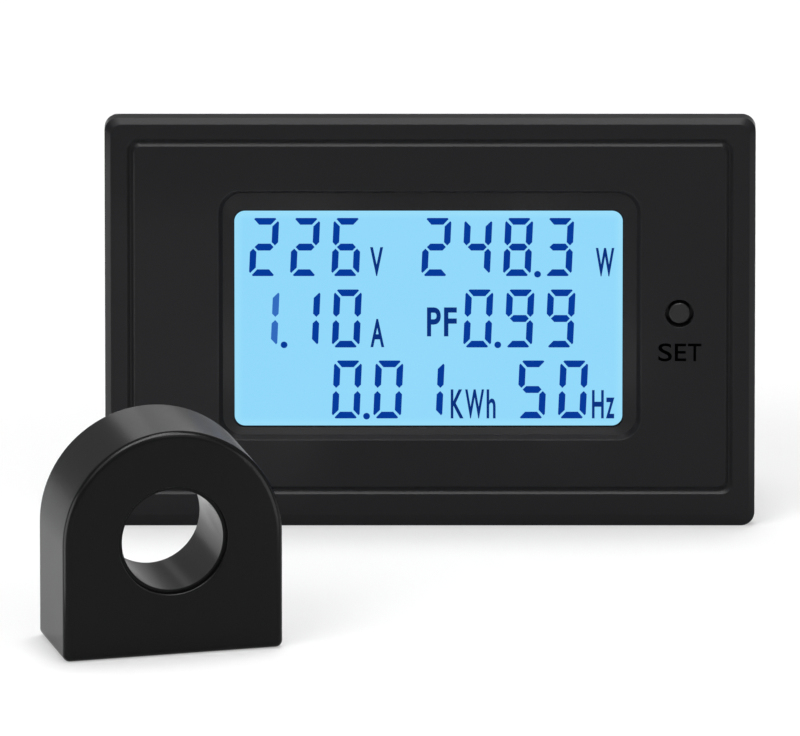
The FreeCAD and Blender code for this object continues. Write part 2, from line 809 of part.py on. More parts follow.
def build_can():
    """Electrolytic can lying on its side, with two bent leads."""
    x, z = can_place
    centre_y = board_rear + lead_rise + can_radius
    can = Part.makeCylinder(can_radius, can_length, Vector(x - can_length / 2, centre_y, z), Vector(1, 0, 0))
    end_edges = [edge for edge in can.Edges if len(edge.Vertexes) == 1]
    can = can.makeFillet(lead_radius, end_edges)
    leads = []
    end_x = x + can_length / 2
    reach = lead_rise + 4 * lead_radius
    leg_x = end_x + reach - 2 * lead_radius
    for side in (-1, 1):
        lead_z = z + side * lead_spacing / 2
        leads.append(Part.makeCylinder(lead_radius, reach, Vector(end_x, centre_y, lead_z), Vector(1, 0, 0)))
        leads.append(rod(lead_radius, board_rear, centre_y, leg_x, lead_z))
    return fuse_all(can, leads)


def build_varistor():
    """Disc varistor standing on two leads."""
    x, z = varistor_place
    centre_y = board_rear + varistor_rise + varistor_radius
    disc = Part.makeCylinder(varistor_radius, varistor_thickness,
                             Vector(x - varistor_thickness / 2, centre_y, z), Vector(1, 0, 0))
    disc = disc.makeFillet(lead_radius * 2, [edge for edge in disc.Edges if len(edge.Vertexes) == 1])
    leads = [rod(lead_radius, board_rear, centre_y, x, z + side * lead_spacing / 2) for side in (-1, 1)]
    return fuse_all(disc, leads)


def build_fuse_resistor():
    """Axial fusible resistor on formed leads."""
    x, z = fuse_place
    centre_y = board_rear + lead_rise + fuse_radius
    body = Part.makeCylinder(fuse_radius, fuse_length, Vector(x, centre_y, z - fuse_length / 2))
    body = body.makeFillet(lead_radius, [edge for edge in body.Edges if len(edge.Vertexes) == 1])
    reach = fuse_length / 2 + fuse_radius
    wire = Part.makeCylinder(lead_radius, 2 * reach, Vector(x, centre_y, z - reach))
    leg_reach = reach - 2 * lead_radius
    legs = [rod(lead_radius, board_rear, centre_y, x, z + side * leg_reach) for side in (-1, 1)]
    return fuse_all(body, [wire] + legs)


def chip_leads(x, z, half_body, count, pitch, rise):
    """Rows of flat leads on the left and right of a chip."""
    leads = []
    for number in range(count):
        lead_z = z + (number - (count - 1) / 2) * pitch
        for side in (-1, 1):
            near = x + side * half_body
            far = x + side * (half_body + chip_width)
            leads.append(box(min(near, far), max(near, far), board_rear, board_rear + rise / 4,
                             lead_z - pitch / 5, lead_z + pitch / 5))
    return leads


def build_controller_chip():
    """Square controller chip with leads on two sides."""
    x, z = controller_place
    half = controller_size / 2
    body = box(x - half, x + half, board_rear, board_rear + controller_rise, z - half, z + half)
    pitch = controller_size / (controller_lead_count + 1)
    return fuse_all(body, chip_leads(x, z, half, controller_lead_count, pitch, controller_rise))


def build_metering_chip():
    """Narrow metering chip with leads along both long sides."""
    x, z = metering_place
    half = metering_width / 2
    body = box(x - half, x + half, board_rear, board_rear + metering_rise,
               z - metering_length / 2, z + metering_length / 2)
    pitch = metering_length / metering_lead_count
    return fuse_all(body, chip_leads(x, z, half, metering_lead_count, pitch, metering_rise))


def build_crystal():
    """Metal-cased crystal with rounded ends."""
    x, z = crystal_place
    return rounded_plate(x - crystal_length / 2, x + crystal_length / 2, z - crystal_width / 2,
                         z + crystal_width / 2, crystal_corner, board_rear, board_rear + crystal_rise)


def build_surface_parts():
    """Small resistors and capacitors soldered flat on the board."""
    start_x, start_z = chip_place
    parts = []
    for row in range(chip_rows):
        for column in range(chip_columns):
            x = start_x + column * chip_pitch
            z = start_z + (row - (chip_rows - 1) / 2) * chip_pitch
            parts.append(box(x - chip_length / 2, x + chip_length / 2, board_rear,
                             board_rear + chip_rise, z - chip_width / 2, z + chip_width / 2))
    return Part.makeCompound(parts)


def ring_outline(radius, foot, y):
    """Transformer outline: a half round on straight sides, from the bore's centre down to a foot."""
    left_foot = Vector(-radius, y, foot)
    right_foot = Vector(radius, y, foot)
    left = Vector(-radius, y, bore_height)
    right = Vector(radius, y, bore_height)
    crown = Vector(0, y, bore_height + radius)
    edges = [Part.LineSegment(left_foot, right_foot), Part.LineSegment(right_foot, right),
             Part.Arc(right, crown, left), Part.LineSegment(left, left_foot)]
    return Part.Wire([edge.toShape() for edge in edges])


def ring_block(radius, foot, y0, y1):
    """Solid with the transformer's outline between two planes."""
    return Part.Face(ring_outline(radius, foot, y0)).extrude(Vector(0, y1 - y0, 0))


def ring(outer, inner, y0, y1):
    """Flat ring around the bore's axis."""
    hole = rod(inner, y0 - cut_margin, y1 + cut_margin, 0, bore_height)
    return rod(outer, y0, y1, 0, bore_height).cut(hole)


def place_transformer(shape):
    """Turn a piece of the transformer and stand it on the table beside the meter."""
    placed = shape.copy()
    placed.rotate(Vector(0, 0, 0), Vector(0, 0, 1), transformer_turn)
    placed.translate(Vector(transformer_x, transformer_y, table_z))
    return placed


def build_transformer_case():
    """Case moulded as a deep cup, rounded at its front edge, with a seat for the bore tube."""
    case = ring_block(ring_radius, 0, 0, ring_depth)
    upright = [edge for edge in case.Edges
               if edge.BoundBox.ZMax < cut_margin and edge.BoundBox.YLength > ring_depth / 2]
    case = case.makeFillet(case_foot_round, upright)
    case = case.makeFillet(case_front_round, flat_edges_at(case, 0, lambda bounds: True))
    case = case.makeFillet(case_back_round, flat_edges_at(case, ring_depth, lambda bounds: True))
    cavity = ring_block(ring_radius - case_wall, case_wall, case_wall, ring_depth + cut_margin)
    hole_radius = bore_radius + case_hole_lap
    hole = rod(hole_radius, -cut_margin, ring_depth, 0, bore_height)
    seat = rod(bore_radius + tube_wall + tube_side_gap, case_hole_depth, ring_depth, 0, bore_height)
    case = case.cut([cavity, hole, seat])
    def at_hole(bounds):
        return bounds.XMax < hole_radius + case_wall and bounds.ZMin > bore_height - hole_radius - case_wall
    return case.makeFillet(case_hole_round, flat_edges_at(case, 0, at_hole))


def build_transformer_back():
    """Back plate moulded with the bore tube, set inside the case's rear rim."""
    plate_rear = ring_depth - back_plate_sink
    plate_front = plate_rear - back_plate_thickness
    plate_radius = ring_radius - case_wall - back_plate_gap
    plate = ring_block(plate_radius, case_wall + back_plate_gap, plate_front, plate_rear)
    tube_front = case_hole_depth + tube_seat_gap
    tube = rod(bore_radius + tube_wall, tube_front, plate_rear, 0, bore_height)
    back = plate.fuse(tube).removeSplitter()
    cuts = [rod(bore_radius, -cut_margin, ring_depth + cut_margin, 0, bore_height)]
    for side in (-1, 1):
        cuts.append(rod(lead_hole_radius, plate_front - cut_margin, ring_depth + cut_margin,
                        side * lead_hole_spacing / 2, lead_hole_height))
    return back.cut(cuts)


def winding_span():
    """Front and back of the winding, centred in the case."""
    front_limit = case_wall
    back_limit = ring_depth - back_plate_sink - back_plate_thickness
    middle = (front_limit + back_limit) / 2
    half = core_thickness / 2 + winding_gap + winding_wall
    return middle - half, middle + half


def winding_radii():
    """Inner and outer radius of the winding, filling the space round the tube."""
    inner = bore_radius + tube_wall + 2 * potting_gap
    outer = inner + 2 * (winding_wall + winding_gap) + core_radial
    return inner, outer


def build_toroid_core():
    """Wound-strip core, a plain rectangular ring."""
    front, back = winding_span()
    inner, outer = winding_radii()
    shell = winding_wall + winding_gap
    return ring(outer - shell, inner + shell, front + shell, back - shell)


def build_secondary_winding():
    """Secondary winding that wraps the core all round."""
    front, back = winding_span()
    inner, outer = winding_radii()
    hollow = ring(outer - winding_wall, inner + winding_wall, front + winding_wall, back - winding_wall)
    return ring(outer, inner, front, back).cut(hollow)


def build_potting_fill():
    """Resin that fills the case round the winding and holds it."""
    front, back = winding_span()
    inner, outer = winding_radii()
    fill_front = case_wall + potting_gap
    fill_back = ring_depth - back_plate_sink - back_plate_thickness - potting_gap
    fill = ring_block(ring_radius - case_wall - potting_gap, case_wall + potting_gap, fill_front, fill_back)
    tube = rod(bore_radius + tube_wall + potting_gap, fill_front, fill_back, 0, bore_height)
    seat = ring(outer + potting_gap, inner - potting_gap, front - potting_gap, back + potting_gap)
    return fill.cut([tube, seat])


def build_all():
    """Every node of the meter and of its transformer."""
    nodes = {
        "front_housing": build_front_housing(),
        "set_button": build_set_button(),
        "tact_switch": build_tact_switch(),
        "tact_plunger": build_tact_plunger(),
        "backlight_guide": build_light_guide(),
        "backlight_leds": build_leds(),
        "backlight_tray": build_backlight_tray(),
        "elastomer_connector": build_contact_strip(),
        "main_board": build_main_board(),
        "terminal_block": build_terminal_block(),
        "terminal_bars": build_terminal_bars(),
        "rear_cover": build_rear_cover(),
        "cover_screws": build_cover_screws(),
        "board_screws": build_board_screws(),
        "film_capacitor": build_film_capacitor(),
        "electrolytic_capacitor": build_can(),
        "varistor": build_varistor(),
        "fuse_resistor": build_fuse_resistor(),
        "controller_chip": build_controller_chip(),
        "metering_chip": build_metering_chip(),
        "crystal": build_crystal(),
        "surface_parts": build_surface_parts(),
    }
    nodes.update(build_display_layers())
    for number, x in enumerate(pole_places, start=1):
        nodes[f"terminal_clamp_{number}"] = build_terminal_clamp(x)
        nodes[f"terminal_screw_{number}"] = build_terminal_screw(x)
    transformer = {
        "transformer_case": build_transformer_case(),
        "transformer_back": build_transformer_back(),
        "toroid_core": build_toroid_core(),
        "secondary_winding": build_secondary_winding(),
        "potting_fill": build_potting_fill(),
    }
    for name, shape in transformer.items():
        nodes[name] = place_transformer(shape)
    return nodes


def main():
    os.makedirs("parts", exist_ok=True)
    for name, shape in build_all().items():
        shape.exportStep(f"parts/{name}.step")
        print(f"{name}: {len(shape.Solids)} solid, {shape.Volume:.1f} mm3, valid {shape.isValid()}")


main()
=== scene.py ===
# %% [markdown]
# # A digital power meter with its ring current transformer
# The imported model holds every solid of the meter, each in its real place, in metres. X runs across
# the face, Z is up and the face looks towards -Y. This lesson gives each solid its finish, adds the
# digits, letters and numbers that the meter carries, and sets up a plain studio round it.

# %% Load the frame
import json
import math

import bpy
from mathutils import Matrix, Vector


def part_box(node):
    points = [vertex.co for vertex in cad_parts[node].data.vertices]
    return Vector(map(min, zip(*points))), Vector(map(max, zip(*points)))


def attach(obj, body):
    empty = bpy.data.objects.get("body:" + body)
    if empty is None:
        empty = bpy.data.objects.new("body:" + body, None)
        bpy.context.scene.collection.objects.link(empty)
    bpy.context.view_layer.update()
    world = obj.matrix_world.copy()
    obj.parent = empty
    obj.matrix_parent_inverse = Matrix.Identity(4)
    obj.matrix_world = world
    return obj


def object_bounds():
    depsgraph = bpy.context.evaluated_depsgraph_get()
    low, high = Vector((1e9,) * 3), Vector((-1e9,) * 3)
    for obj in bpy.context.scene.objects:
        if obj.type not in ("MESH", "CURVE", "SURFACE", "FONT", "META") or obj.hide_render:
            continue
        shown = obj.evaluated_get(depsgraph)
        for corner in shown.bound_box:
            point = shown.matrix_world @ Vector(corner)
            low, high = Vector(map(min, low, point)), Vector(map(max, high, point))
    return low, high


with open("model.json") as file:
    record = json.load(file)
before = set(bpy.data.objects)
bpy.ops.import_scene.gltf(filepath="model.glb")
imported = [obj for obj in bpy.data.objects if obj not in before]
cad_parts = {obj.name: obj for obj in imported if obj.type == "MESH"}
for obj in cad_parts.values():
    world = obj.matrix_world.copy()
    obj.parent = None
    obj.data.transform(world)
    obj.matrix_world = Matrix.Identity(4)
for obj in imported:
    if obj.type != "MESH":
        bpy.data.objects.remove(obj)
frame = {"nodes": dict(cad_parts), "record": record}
nodes = frame["nodes"]
cad_low, cad_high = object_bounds()
print(len(nodes), "solids loaded, box", [round(value, 4) for value in (*cad_low, *cad_high)])


# %% [markdown]
# ## Tools for finishes
# A finish is a material made of nodes. Small helpers keep the rest short: one adds a node and fills
# in its sockets, one starts a material and hands back its shader, and one starts a node group,
# which is an effect that several materials share.

# %% Node helpers
def feed(tree, node, socket, value):
    """Link a socket to another node's output, or give it a plain value."""
    if isinstance(value, bpy.types.NodeSocket):
        tree.links.new(value, node.inputs[socket])
    else:
        node.inputs[socket].default_value = value


def add_node(tree, kind, settings=None, **values):
    """Add a node, set its options, and fill its named sockets with values or links."""
    node = tree.nodes.new(kind)
    for option, value in (settings or {}).items():
        setattr(node, option, value)
    for socket, value in values.items():
        feed(tree, node, socket.replace("_", " "), value)
    return node


def start_material(name):
    """A new material with its main shader."""
    material = bpy.data.materials.new(name)
    material.use_nodes = True
    return material, material.node_tree, material.node_tree.nodes["Principled BSDF"]


def start_group(name, inputs, outputs):
    """A node group with named sockets, its entry and its end."""
    group = bpy.data.node_groups.new(name, "ShaderNodeTree")
    for label, kind, value in inputs:
        socket = group.interface.new_socket(label, in_out="INPUT", socket_type=kind)
        socket.default_value = value
    for label, kind in outputs:
        group.interface.new_socket(label, in_out="OUTPUT", socket_type=kind)
    return group, group.nodes.new("NodeGroupInput"), group.nodes.new("NodeGroupOutput")


FLOAT, COLOR, VECTOR = "NodeSocketFloat", "NodeSocketColor", "NodeSocketVector"
print("node helpers ready")


# %% [markdown]
# Most patterns come from the same few steps: a place on the piece, a noise, a sum, a range and a
# mix of two colours. Each has its own helper, and most hand back the output to link onwards.
# Patterns read Object coordinates, so they stay put when the camera or the piece moves.

# %% Pattern helpers
FIRST_COLOUR, SECOND_COLOUR, MIXED_COLOUR = 6, 7, 2  # where a Mix node keeps its colour sockets


def object_place(tree):
    """The place on the piece, in metres."""
    return add_node(tree, "ShaderNodeTexCoord").outputs["Object"]


def noise(tree, place, scale, detail, roughness=0.5):
    """A smooth random value from 0 to 1; the scale counts its waves in a metre."""
    return add_node(tree, "ShaderNodeTexNoise", Vector=place, Scale=scale, Detail=detail,
                    Roughness=roughness).outputs["Fac"]


def maths(tree, operation, *values):
    """The result of a sum on one to three values."""
    node = add_node(tree, "ShaderNodeMath", {"operation": operation})
    for number, value in enumerate(values):
        feed(tree, node, number, value)
    return node.outputs[0]


def vector_maths(tree, operation, *values):
    """The node that works out a sum on places."""
    node = add_node(tree, "ShaderNodeVectorMath", {"operation": operation})
    for number, value in enumerate(values):
        feed(tree, node, number, value)
    return node


def scaled(tree, colour, factor):
    """A colour made paler or darker by a factor."""
    node = vector_maths(tree, "SCALE", colour)
    feed(tree, node, "Scale", factor)
    return node.outputs[0]


def ranged(tree, value, start, end, low=0.0, high=1.0, curve="LINEAR"):
    """A value stretched from one range to another and kept inside it."""
    return add_node(tree, "ShaderNodeMapRange", {"interpolation_type": curve}, Value=value,
                    From_Min=start, From_Max=end, To_Min=low, To_Max=high).outputs["Result"]


def blended(tree, factor, first, second):
    """A colour between two others."""
    node = add_node(tree, "ShaderNodeMix", {"data_type": "RGBA"}, Factor=factor)
    feed(tree, node, FIRST_COLOUR, first)
    feed(tree, node, SECOND_COLOUR, second)
    return node.outputs[MIXED_COLOUR]


def srgb(red, green, blue):
    """A screen colour of 0 to 255 as the linear colour that the shader works in."""
    def linear(value):
        share = value / 255
        return share / 12.92 if share <= 0.04045 else ((share + 0.055) / 1.055) ** 2.4
    return (linear(red), linear(green), linear(blue), 1.0)


print("middle grey of the screen is", round(srgb(128, 128, 128)[0], 3), "in the shader")


# %% [markdown]
# ## The moulded surface
# Injection-moulded plastic copies the fine spark-eroded texture of its mould. Up close that is a
# random grain a few tenths of a millimetre across, and over a whole face the gloss drifts a little.
# Nearly every black or white piece here has it, so it is one group with its own values in each
# material. It puts out a colour, a roughness and a height.

# %% Group: moulded grain
def build_moulded_grain():
    group, entry, end = start_group(
        "moulded_grain",
        [("Colour", COLOR, (0.5, 0.5, 0.5, 1)), ("Roughness", FLOAT, 0.5),
         ("Grain", FLOAT, 2500.0), ("Drift", FLOAT, 0.1)],
        [("Colour", COLOR), ("Roughness", FLOAT), ("Height", FLOAT)])
    place = object_place(group)
    fine = noise(group, place, entry.outputs["Grain"], 3.0, 0.6)
    broad = noise(group, place, 55.0, 4.0, 0.55)
    centred = maths(group, "SUBTRACT", broad, 0.5)
    gloss = maths(group, "MULTIPLY_ADD", centred, entry.outputs["Drift"],
                  entry.outputs["Roughness"])
    shade = maths(group, "MULTIPLY_ADD", centred, entry.outputs["Drift"], 1.0)
    feed(group, end, "Colour", scaled(group, entry.outputs["Colour"], shade))
    feed(group, end, "Roughness", gloss)
    feed(group, end, "Height", fine)
    return group


moulded_grain = build_moulded_grain()
print("group", moulded_grain.name, "with", len(moulded_grain.nodes), "nodes")


# %% [markdown]
# A material places the group with its own values, and links the three outputs to its shader. The
# height goes through a bump, whose distance is the real depth of the relief in metres.

# %% From a group to the shader
def grained(tree, colour, roughness, grain, drift):
    """The moulded grain, placed in a material."""
    return add_node(tree, "ShaderNodeGroup", {"node_tree": moulded_grain}, Colour=colour,
                    Roughness=roughness, Grain=grain, Drift=drift)


def raise_relief(tree, shader, height, strength, depth):
    """Bend the shader's light with a height; depth is in metres."""
    bump = add_node(tree, "ShaderNodeBump", Strength=strength, Distance=depth, Height=height)
    feed(tree, shader, "Normal", bump.outputs["Normal"])


def dress_shader(tree, shader, surface, strength, depth):
    """Give the shader the colour, the roughness and the relief of a group."""
    feed(tree, shader, "Base Color", surface.outputs["Colour"])
    feed(tree, shader, "Roughness", surface.outputs["Roughness"])
    raise_relief(tree, shader, surface.outputs["Height"], strength, depth)


def finishes_from(maker, values):
    """One material for each name, from a dictionary of the maker's values."""
    return {name: maker(name, *given) for name, given in values.items()}


print("group inputs", [item.name for item in moulded_grain.interface.items_tree
                       if item.in_out == "INPUT"])


# %% [markdown]
# ## Moulded plastic
# The black parts of the meter and of the ring are one family: a very dark, satin plastic. The face
# mirrors the white table a little, so the colour itself is darker than it looks in the studio and
# the mirror strength is low. Each piece gets its own grain, gloss and depth of texture.

# %% Material: moulded plastic
plastic_drift = 0.1


def moulded_plastic(name, colour, roughness, grain, depth, mirror, strength=0.6):
    """Plastic with moulded grain; depth is the height of the grain in metres."""
    material, tree, shader = start_material(name)
    surface = grained(tree, (*colour, 1.0), roughness, grain, plastic_drift)
    dress_shader(tree, shader, surface, strength, depth)
    shader.inputs["Specular IOR Level"].default_value = mirror
    return material


black_plastics = finishes_from(moulded_plastic, {
    # name: colour, roughness, grain, depth of the grain, mirror strength
    "housing_plastic": ((0.0145, 0.0145, 0.0157), 0.32, 3800, 0.000006, 0.06),
    "cover_plastic": ((0.013, 0.013, 0.0138), 0.45, 2600, 0.00002, 0.2),
    "key_plastic": ((0.0135, 0.0135, 0.0144), 0.36, 5200, 0.000006, 0.2),
    "switch_plastic": ((0.02, 0.02, 0.02), 0.5, 3200, 0.00002, 0.4),
    "plunger_plastic": ((0.035, 0.035, 0.036), 0.4, 3600, 0.00001, 0.4),
    "case_plastic": ((0.005, 0.005, 0.0055), 0.24, 3400, 0.000006, 0.095),
    "tube_plastic": ((0.004, 0.004, 0.0044), 0.2, 2200, 0.000003, 0.095),
    "chip_plastic": ((0.014, 0.014, 0.015), 0.62, 6000, 0.000012, 0.35),
})
print(len(black_plastics), "black plastics")


# %% [markdown]
# ## Other moulded pieces
# The backlight tray is white so that it throws light back, the terminal block is the green of
# pluggable terminals, and the lamps are cream. They share the grain group too.

# %% Materials: coloured plastics
coloured_plastics = finishes_from(moulded_plastic, {
    "tray_plastic": ((0.8, 0.8, 0.78), 0.45, 2400, 0.00002, 0.45),
    "terminal_plastic": ((0.018, 0.16, 0.055), 0.4, 2800, 0.00002, 0.45),
    "lamp": ((0.82, 0.8, 0.62), 0.3, 3000, 0.000008, 0.5),
})
print(len(coloured_plastics), "coloured plastics")


# %% [markdown]
# ## Metals
# Plated brass, nickel-plated screws and pressed steel all carry fine lines from forming or turning.
# A noise stretched along one axis gives such lines. The stretch differs between pieces, so it is an
# input of a shared group. A second, broader noise dulls and darkens the metal here and there.

# %% Group: drawn lines
def build_drawn_lines():
    group, entry, end = start_group(
        "drawn_lines",
        [("Colour", COLOR, (0.6, 0.6, 0.6, 1)), ("Roughness", FLOAT, 0.3),
         ("Stretch", VECTOR, (4000.0, 250.0, 4000.0)), ("Tarnish", FLOAT, 0.15)],
        [("Colour", COLOR), ("Roughness", FLOAT), ("Height", FLOAT)])
    place = object_place(group)
    spread = vector_maths(group, "MULTIPLY", place, entry.outputs["Stretch"])
    lines = noise(group, spread.outputs[0], 1.0, 3.0)
    cloud = noise(group, place, 320.0, 4.0)
    dulled = maths(group, "MULTIPLY", cloud, entry.outputs["Tarnish"])
    kept = maths(group, "SUBTRACT", 1.0, dulled)
    feed(group, end, "Colour", scaled(group, entry.outputs["Colour"], kept))
    feed(group, end, "Roughness", maths(group, "ADD", entry.outputs["Roughness"], dulled))
    feed(group, end, "Height", lines)
    return group


drawn_lines = build_drawn_lines()
print("group", drawn_lines.name, "with", len(drawn_lines.nodes), "nodes")


# %% [markdown]
# The slot of a terminal screw is rough from its cutter and holds dirt. The distance to the slot's
# floor, counted along Y, sets how dark it gets: the colour darkens towards the floor, as painted
# shade in the recess together with the dirt it holds.

# %% Painted shade and dirt in a slot
slot_depth = 0.0008
slot_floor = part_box("terminal_screw_1")[1].y - slot_depth
# painted shade and dirt: the share of the colour that is left at the slot's floor
shade_and_dirt_floor_level = 0.12


def dimmed_near(tree, colour, floor_place, reach):
    """The colour, darker near the floor of a slot as painted shade and dirt; its place and the reach
    are counted along Y.
    """
    parts = add_node(tree, "ShaderNodeSeparateXYZ", Vector=object_place(tree))
    away = maths(tree, "ABSOLUTE", maths(tree, "SUBTRACT", parts.outputs["Y"], floor_place))
    return scaled(tree, colour, ranged(tree, away, 0.0, reach, shade_and_dirt_floor_level, 1.0))


print("slot floor at", round(slot_floor * 1000, 2), "mm")


# %% [markdown]
# The contact bars and clamps are plated brass, the screws are plated or blackened steel, the core
# is dull grey strip, the winding is lacquered copper and the solder legs are tin. They differ in
# colour, gloss and in the direction of their lines, which run along the piece on pressed parts and
# round the axis on turned ones.

# %% Materials: metals
line_depth = 0.00001


def formed_metal(name, colour, roughness, stretch, tarnish, slot=None):
    """Metal with fine lines from drawing, turning or pressing; slot is its floor and its depth."""
    material, tree, shader = start_material(name)
    surface = add_node(tree, "ShaderNodeGroup", {"node_tree": drawn_lines}, Colour=(*colour, 1.0),
                       Roughness=roughness, Stretch=stretch, Tarnish=tarnish)
    dress_shader(tree, shader, surface, 0.4, line_depth)
    # painted shade and dirt darken the colour towards the slot's floor
    if slot:
        feed(tree, shader, "Base Color", dimmed_near(tree, surface.outputs["Colour"], *slot))
    shader.inputs["Metallic"].default_value = 1.0
    return material


metals = finishes_from(formed_metal, {
    # name: colour, roughness, stretch along X, Y and Z, tarnish, and a slot where there is one
    "brass_plated": ((0.72, 0.58, 0.32), 0.26, (300.0, 5000.0, 300.0), 0.25),
    "screw_steel": ((0.62, 0.61, 0.58), 0.24, (5200.0, 500.0, 700.0), 0.2,
                    (slot_floor, slot_depth)),
    "black_screw": ((0.055, 0.055, 0.06), 0.38, (4200.0, 500.0, 900.0), 0.3),
    "crystal_can": ((0.74, 0.73, 0.71), 0.22, (260.0, 4200.0, 4200.0), 0.12),
    "core_steel": ((0.2, 0.2, 0.21), 0.4, (260.0, 5200.0, 260.0), 0.3),
    "winding_copper": ((0.58, 0.22, 0.08), 0.3, (300.0, 5200.0, 300.0), 0.3),
    "lead_tin": ((0.7, 0.69, 0.66), 0.3, (2600.0, 900.0, 2600.0), 0.25),
})
print(len(metals), "metals")


# %% [markdown]
# ## The lit display
# The window shows the front film of the display cell, lit from behind. The light is an even pale
# blue that grows a touch paler towards the edge of the lit area, and ends in a thin dark line, a
# painted shadow of the window's edge on the film. Both follow the distance to a rounded outline,
# worked out from Object coordinates, so a group gives that distance.

# %% Group: distance to the lit outline
film_low, film_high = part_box("lcd_front_polariser")
film_centre = (film_low + film_high) / 2
film_half = (film_high - film_low) / 2
film_margin = 0.0013
# painted shadow: the thin dark line round the lit area stands for the shadow of the window's edge;
# these are its widths at the sides and at the top and bottom, and lit_drop makes it wider along the
# top
side_shadow_width, level_shadow_width = 0.00008, 0.00015
lit_drop = 0.00012
lit_corner = 0.0014
lit_centre = (film_centre.x, film_centre.z - lit_drop)
lit_half = (film_half.x - film_margin - side_shadow_width, film_half.z - film_margin - level_shadow_width)


def build_lit_outline():
    group, entry, end = start_group(
        "lit_outline", [("Corner", FLOAT, lit_corner)], [("Distance", FLOAT)])
    offset = vector_maths(group, "SUBTRACT", object_place(group), (lit_centre[0], 0, lit_centre[1]))
    away = vector_maths(group, "ABSOLUTE", offset.outputs[0])
    straight = (lit_half[0] - lit_corner, 1.0, lit_half[1] - lit_corner)
    beyond = vector_maths(group, "SUBTRACT", away.outputs[0], straight)
    outside = vector_maths(group, "MAXIMUM", beyond.outputs[0], (0, 0, 0))
    length = vector_maths(group, "LENGTH", outside.outputs[0])
    distance = maths(group, "SUBTRACT", length.outputs["Value"], entry.outputs["Corner"])
    feed(group, end, "Distance", distance)
    return group


lit_outline = build_lit_outline()
print("lit area", [round(2000 * half, 1) for half in lit_half], "mm")


# %% [markdown]
# The film glows at a strength of 1, so that it shows as the colour it is written in. A real cell
# throws most of its light straight out at the viewer, so what other surfaces receive of it is
# turned down with Light Path, and the black walls round it stay black as they do in the photograph.

# %% Material: lit film
pale_rim = (-0.0012, -0.0001)
edge_shadow_softness = 0.00002
thrown_share = 0.03


def lit_film():
    material, tree, shader = start_material("lcd_polariser")
    outline = add_node(tree, "ShaderNodeGroup", {"node_tree": lit_outline}, Corner=lit_corner)
    distance = outline.outputs["Distance"]
    rim = ranged(tree, distance, *pale_rim, curve="SMOOTHSTEP")
    # painted shadow of the window's edge: a dark band along the lit outline
    edge_shadow = ranged(tree, distance, -edge_shadow_softness, edge_shadow_softness)
    cloud = noise(tree, object_place(tree), 45.0, 2.0)
    paler = maths(tree, "MULTIPLY_ADD", cloud, 0.3, rim)
    glow = blended(tree, paler, srgb(143, 215, 250), srgb(153, 221, 250))
    # the dark teal colour is the painted shadow of the window's edge
    feed(tree, shader, "Emission Color", blended(tree, edge_shadow, glow, srgb(2, 8, 14)))
    camera_ray = add_node(tree, "ShaderNodeLightPath").outputs["Is Camera Ray"]
    feed(tree, shader, "Emission Strength", ranged(tree, camera_ray, 0.0, 1.0, thrown_share, 1.0))
    shader.inputs["Base Color"].default_value = (0.004, 0.006, 0.007, 1)
    shader.inputs["Roughness"].default_value = 0.3
    shader.inputs["Specular IOR Level"].default_value = 0.03
    return material


lit_polariser = lit_film()
print("film finish has", len(lit_polariser.node_tree.nodes), "nodes")


# %% [markdown]
# ## Glass and clear plastic
# The cell's two plates and the light guide are clear. Glass keeps a plain metallic and transmission
# value. A faint green-blue tint and a slightly uneven gloss stop it looking like a computer's idea
# of glass.

# %% Materials: clear pieces
clear_transmission = 0.92


def clear_piece(name, colour, roughness, ior):
    """Clear glass or plastic with a slightly uneven gloss."""
    material, tree, shader = start_material(name)
    surface = grained(tree, (*colour, 1.0), roughness, 900.0, 0.04)
    feed(tree, shader, "Base Color", surface.outputs["Colour"])
    feed(tree, shader, "Roughness", surface.outputs["Roughness"])
    shader.inputs["IOR"].default_value = ior
    shader.inputs["Transmission Weight"].default_value = clear_transmission
    return material


clears = finishes_from(clear_piece, {
    "lcd_glass": ((0.84, 0.93, 0.94), 0.03, 1.5),
    "light_guide": ((0.9, 0.95, 0.97), 0.08, 1.49),
})
print(len(clears), "clear finishes")


# %% [markdown]
# ## The circuit board
# The board is woven glass laminate under green lacquer. The weave shows faintly as a grid, and the
# copper beneath shows as paler lines. Both are masks made from waves and cells on Object
# coordinates, at about the board's real scale: a weave of 0.5 mm and tracks about 4 mm apart.

# %% Material: lacquered board
weave_scale = 620.0
track_scale = 260.0


def weave_bands(tree, place, direction):
    """Even bands across one direction, as of one set of threads."""
    return add_node(tree, "ShaderNodeTexWave", {"bands_direction": direction}, Vector=place,
                    Scale=weave_scale).outputs["Fac"]


def lacquered_board():
    material, tree, shader = start_material("board")
    place = object_place(tree)
    weave = maths(tree, "MAXIMUM", weave_bands(tree, place, "X"), weave_bands(tree, place, "Z"))
    cells = add_node(tree, "ShaderNodeTexVoronoi", {"feature": "DISTANCE_TO_EDGE"}, Vector=place,
                     Scale=track_scale)
    track = ranged(tree, cells.outputs["Distance"], 0.06, 0.1, 1.0, 0.0)
    tint = blended(tree, track, (0.012, 0.12, 0.045, 1), (0.03, 0.24, 0.09, 1))
    feed(tree, shader, "Base Color", tint)
    feed(tree, shader, "Roughness", ranged(tree, weave, 0.0, 1.0, 0.26, 0.36))
    raise_relief(tree, shader, maths(tree, "MULTIPLY_ADD", weave, 0.15, track), 0.5, 0.00003)
    return material


board_finish = lacquered_board()
print("board finish has", len(board_finish.node_tree.nodes), "nodes")


# %% [markdown]
# ## Coated and banded components
# Capacitors, the disc and the ring's filling are dipped, sleeved or poured. Lacquer pools a little,
# so a slow noise bends its surface, and a thin coat gives it the second, sharper gloss of lacquer.

# %% Materials: lacquers and sleeves
coat_share = 0.3


